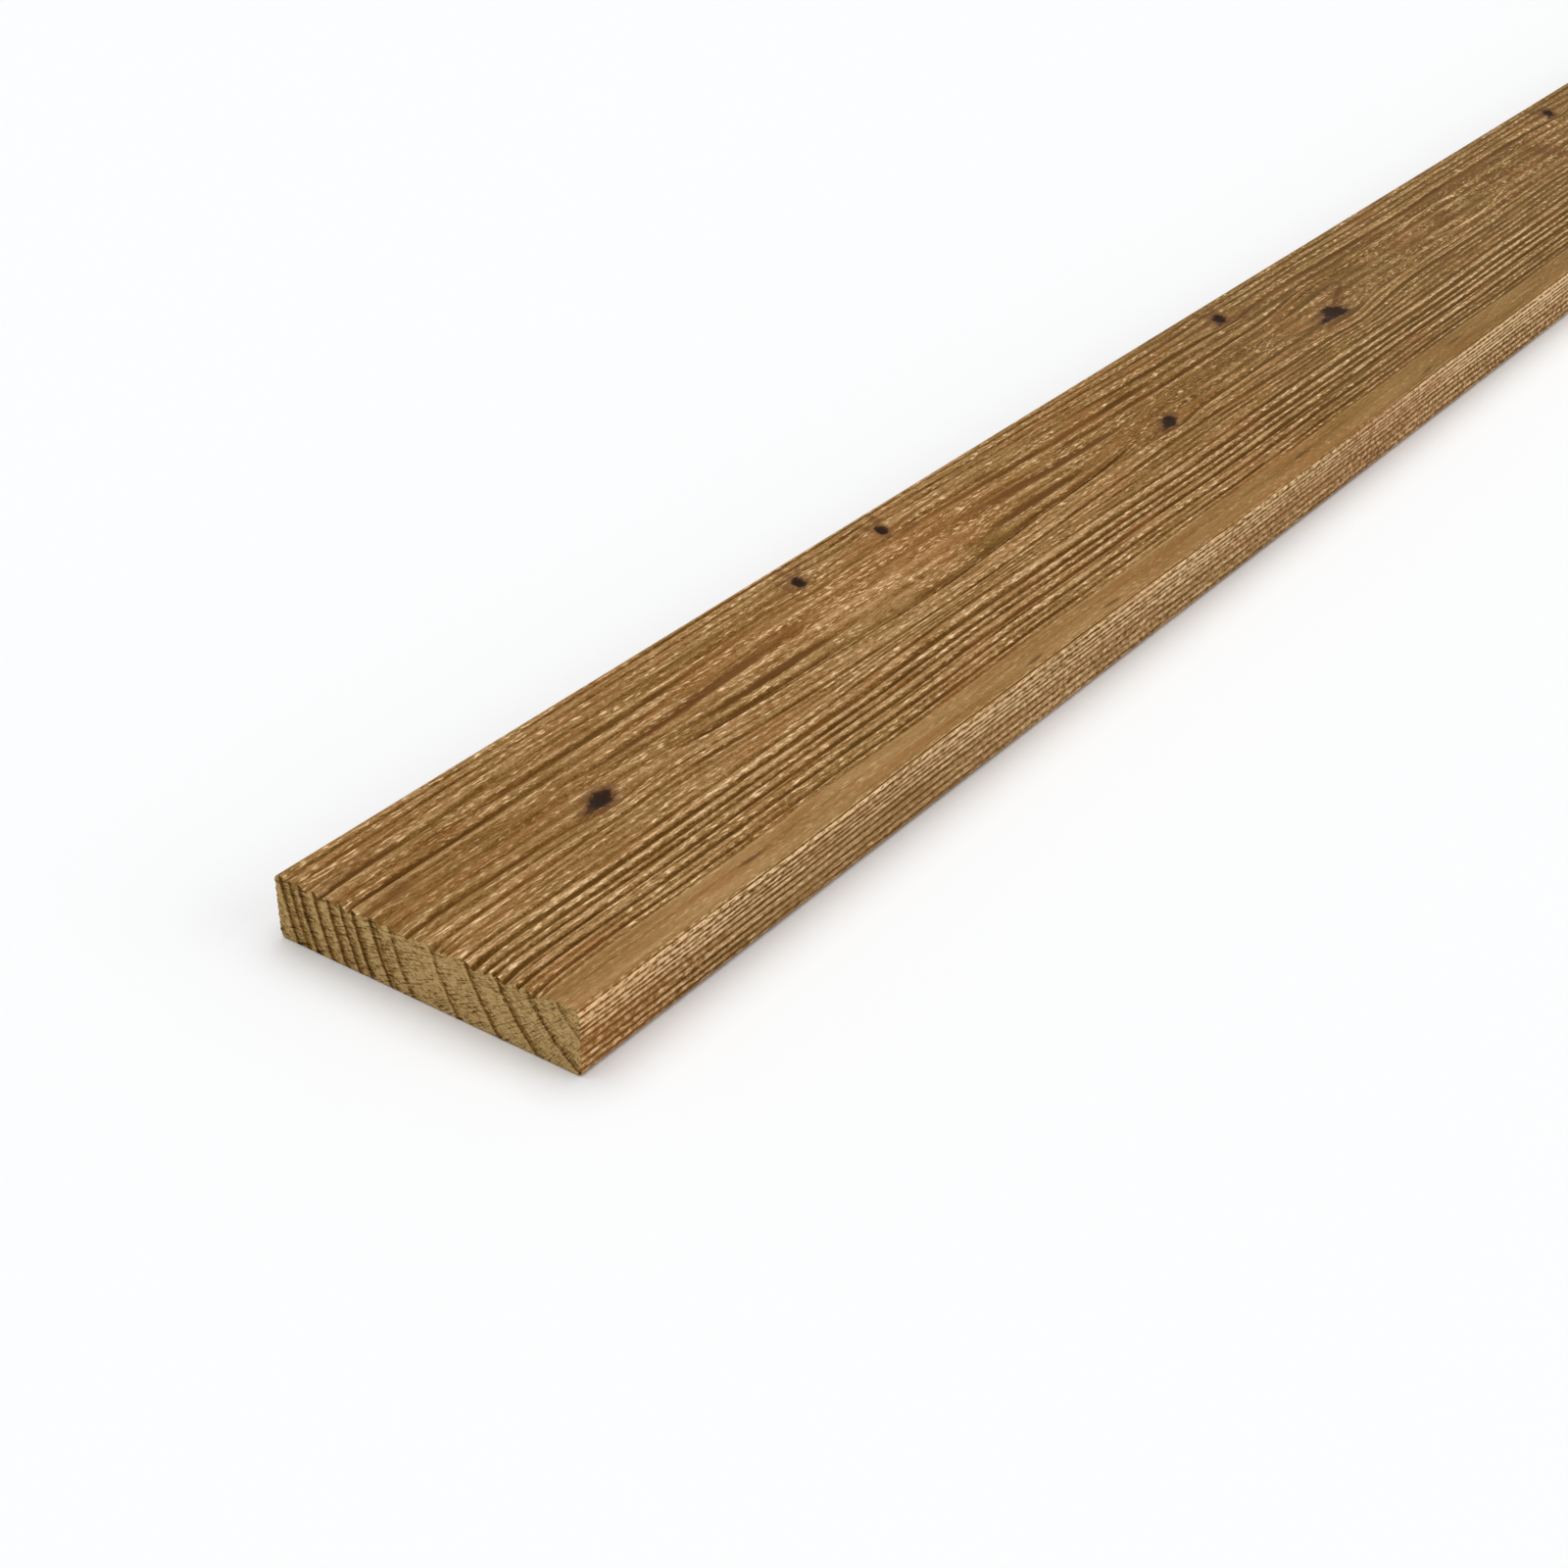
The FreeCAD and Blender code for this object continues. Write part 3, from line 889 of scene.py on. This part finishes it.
# The sawn ends: growth rings about a pith outside the board, pores and fine radial cracks
def sawnEndGrain():
    finish, tree = newFinish("sawnEndGrain")
    place = addNode(tree, "ShaderNodeTexCoord").outputs["Object"]
    centre = (0, low[1] + growthRings["pithAcross"] * mm, low[2] + growthRings["pithUp"] * mm)
    fromPith = addNode(tree, "ShaderNodeMapping", {"Vector": place, "Location": centre,
                                                   "Scale": (1000, mm, mm)}, vector_type="TEXTURE").outputs[0]
    _, sideways, upwards = addNode(tree, "ShaderNodeSeparateXYZ", {0: fromPith}).outputs
    radius = addNode(tree, "ShaderNodeVectorMath", {0: fromPith}, operation="LENGTH").outputs["Value"]
    roundPith = combine(tree, "MULTIPLY", combine(tree, "ARCTAN2", upwards, sideways), 110.0)
    polar = addNode(tree, "ShaderNodeCombineXYZ", {0: radius, 1: roundPith}).outputs[0]
    flat = addNode(tree, "ShaderNodeCombineXYZ", {0: sideways, 1: upwards}).outputs[0]

    wander = combine(tree, "ADD", swing(tree, grainNoise(tree, polar, 30, 14, 5.5), 1.6),
                     swing(tree, grainNoise(tree, flat, 1.6, 1.2, 9.5), 0.4))
    ringRadius = combine(tree, "ADD", radius, wander)
    # one band per ring: it darkens slowly outwards and ends sharply
    rings = growthRings["rings"]
    first, last = rings[0][0] - 10, rings[-1][0] + 12
    outwards = combine(tree, "DIVIDE", combine(tree, "SUBTRACT", ringRadius, first), last - first)
    bands = addNode(tree, "ShaderNodeFloatCurve", {"Value": outwards})
    curve = bands.mapping.curves[0]
    plain = 0.14
    curve.points[0].location = (0, plain)
    curve.points[1].location = (1, plain)
    for index, (ring, dark) in enumerate(rings):
        before = ring - rings[index - 1][0] if index else 9.0
        after = rings[index + 1][0] - ring if index + 1 < len(rings) else 9.0
        inner = min(3.8, before * 0.7)
        shape = [(-inner, 0.5 if before < 3 else plain), (-inner * 0.5, 0.40 if before > 3 else 0.6),
                 (-0.6, 0.72), (0.0, 1.0), (0.6, 0.92), (1.15, 0.5 if after < 3 else 0.06)]
        if after > 8:
            shape += [(2.0, 0.0), (3.4, plain)]  # the pale ridge outside a ring: pale wood with a painted highlight on it
        for offset, share in shape:
            curve.points.new((ring + offset - first) / (last - first), share * (dark if share > plain else 1))
    for point in curve.points:
        point.handle_type = "VECTOR"
    bands.mapping.update()
    dark = bands.outputs[0]

    broad = grainNoise(tree, flat, 26, 12, 13.1)
    pores = grainNoise(tree, flat, 2.6, 1.2, 21.7, 3.0, 0.65, -24)
    grit = grainNoise(tree, flat, 1.0, 0.7, 53.3, 2.0, 0.6, 15)
    rays = grainNoise(tree, polar, 5.0, 0.8, 33.3, 2.0, 0.6)
    cracks = between(tree, grainNoise(tree, polar, 8.0, 0.7, 41.9, 1.0), 0.64, 0.69)
    calm = between(tree, dark, 0.4, 1.0, 1.0, 0.4)
    tone = combine(tree, "ADD", endTones["middle"], swing(tree, broad, endTones["broad"]),
                   combine(tree, "MULTIPLY", swing(tree, pores, endTones["pores"]), calm),
                   swing(tree, grit, endTones["grit"]),
                   between(tree, pores, 0.58, 0.72, 0.0, endTones["speck"]),
                   between(tree, sideways, 154, 168, 0.0, -0.05),
                   combine(tree, "MULTIPLY", swing(tree, rays, endTones["rays"]), calm),
                   combine(tree, "MULTIPLY", dark, -endTones["line"]),
                   combine(tree, "MULTIPLY", cracks, -endTones["crack"]))
    colour = toneRamp(tree, tone, endTones["stops"])
    height = combine(tree, "ADD", combine(tree, "MULTIPLY", pores, 0.5), combine(tree, "MULTIPLY", rays, 0.3),
                     combine(tree, "MULTIPLY", dark, -0.8), combine(tree, "MULTIPLY", cracks, -0.6))
    finishSurface(tree, colour, height, 0.8, 0.75)
    return finish


piece.data.materials.append(brushedPine())
piece.data.materials.append(sawnEndGrain())
for face in piece.data.polygons:
    face.material_index = 1 if face.loop_total > unwrap["sideCorners"] else 0
bpy.ops.object.select_all(action="DESELECT")
piece.select_set(True)
bpy.context.view_layer.objects.active = piece
bpy.ops.object.shade_smooth_by_angle(angle=math.radians(50))
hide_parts("decking_board")
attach(piece, "root")
print("finishes done")


# Studio

studio = {
    "cameraAlong": -535.8,  # millimetres from the sawn end, beyond it
    "cameraAcross": -475.8,  # from the near edge, in front of it
    "cameraUp": 550.8,
    "tiltDown": 31.265,
    "heading": 36.082,
    "focalPixels": 2668.9,
    "photoPixels": 1600,
    "sensor": 36.0,
    "sky": 0.35,
    "above": (1.93, 68, 50, 77),  # strength, breadth of the light's disc, heading and height in degrees
    "front": (0.66, 44, 290, 26),
    "floor": (0.941, 0.948, 0.955),
    "floorSize": 30,  # metres
    "floorGap": 0.02,  # millimetres below the board
}


def makeCamera():
    data = bpy.data.cameras.new("photoView")
    data.sensor_width = studio["sensor"]
    data.lens = studio["sensor"] * studio["focalPixels"] / studio["photoPixels"]
    data.clip_start, data.clip_end = 0.01, 50
    camera = bpy.data.objects.new("photoView", data)
    bpy.context.collection.objects.link(camera)
    camera.location = (low[0] + studio["cameraAlong"] * mm, low[1] + studio["cameraAcross"] * mm,
                       low[2] + studio["cameraUp"] * mm)
    camera.rotation_euler = (math.radians(90 - studio["tiltDown"]), 0, math.radians(studio["heading"] - 90))
    bpy.context.scene.camera = camera


# 1 where the camera, a gloss or a clear thing looks straight at the surface
def seenDirectly(tree):
    lightPath = addNode(tree, "ShaderNodeLightPath")
    return combine(tree, "MAXIMUM", lightPath.outputs["Is Camera Ray"], lightPath.outputs["Is Glossy Ray"],
                   lightPath.outputs["Is Transmission Ray"])


def makeFloor():
    bpy.ops.object.select_all(action="DESELECT")
    ground = low[2] - studio["floorGap"] * mm
    bpy.ops.mesh.primitive_plane_add(size=studio["floorSize"], location=(0, 0, ground))
    floor = bpy.context.object
    floor.name = "paleFloor"
    finish, tree = newFinish("paleFloorPaint")
    matt = addNode(tree, "ShaderNodeBsdfDiffuse", {"Color": (*studio["floor"], 1)})
    addNode(tree, "ShaderNodeOutputMaterial", {"Surface": matt.outputs[0]})
    floor.data.materials.append(finish)


# A wide soft lamp that shines from a heading round the board and a height above the floor
def makeLight(name, strength, breadth, heading, height):
    data = bpy.data.lights.new(name, "SUN")
    data.energy, data.angle = strength, math.radians(breadth)
    light = bpy.data.objects.new(name, data)
    bpy.context.collection.objects.link(light)
    light.location = (0, 0, 3)
    light.rotation_euler = (math.radians(90 - height), 0, math.radians(heading + 90))


def makeSky():
    sky = bpy.data.worlds.new("softSky")
    sky.use_nodes = True
    tree = sky.node_tree
    tree.nodes.clear()
    strength = between(tree, seenDirectly(tree), 0, 1, studio["sky"], 1.0)
    light = addNode(tree, "ShaderNodeBackground", {"Color": (1, 1, 1, 1), "Strength": strength})
    addNode(tree, "ShaderNodeOutputWorld", {"Surface": light.outputs[0]})
    bpy.context.scene.world = sky


makeCamera()
makeFloor()
makeSky()
makeLight("softLightAbove", *studio["above"])
makeLight("softLightInFront", *studio["front"])
bpy.context.scene.view_settings.view_transform = "Standard"
print("studio done")
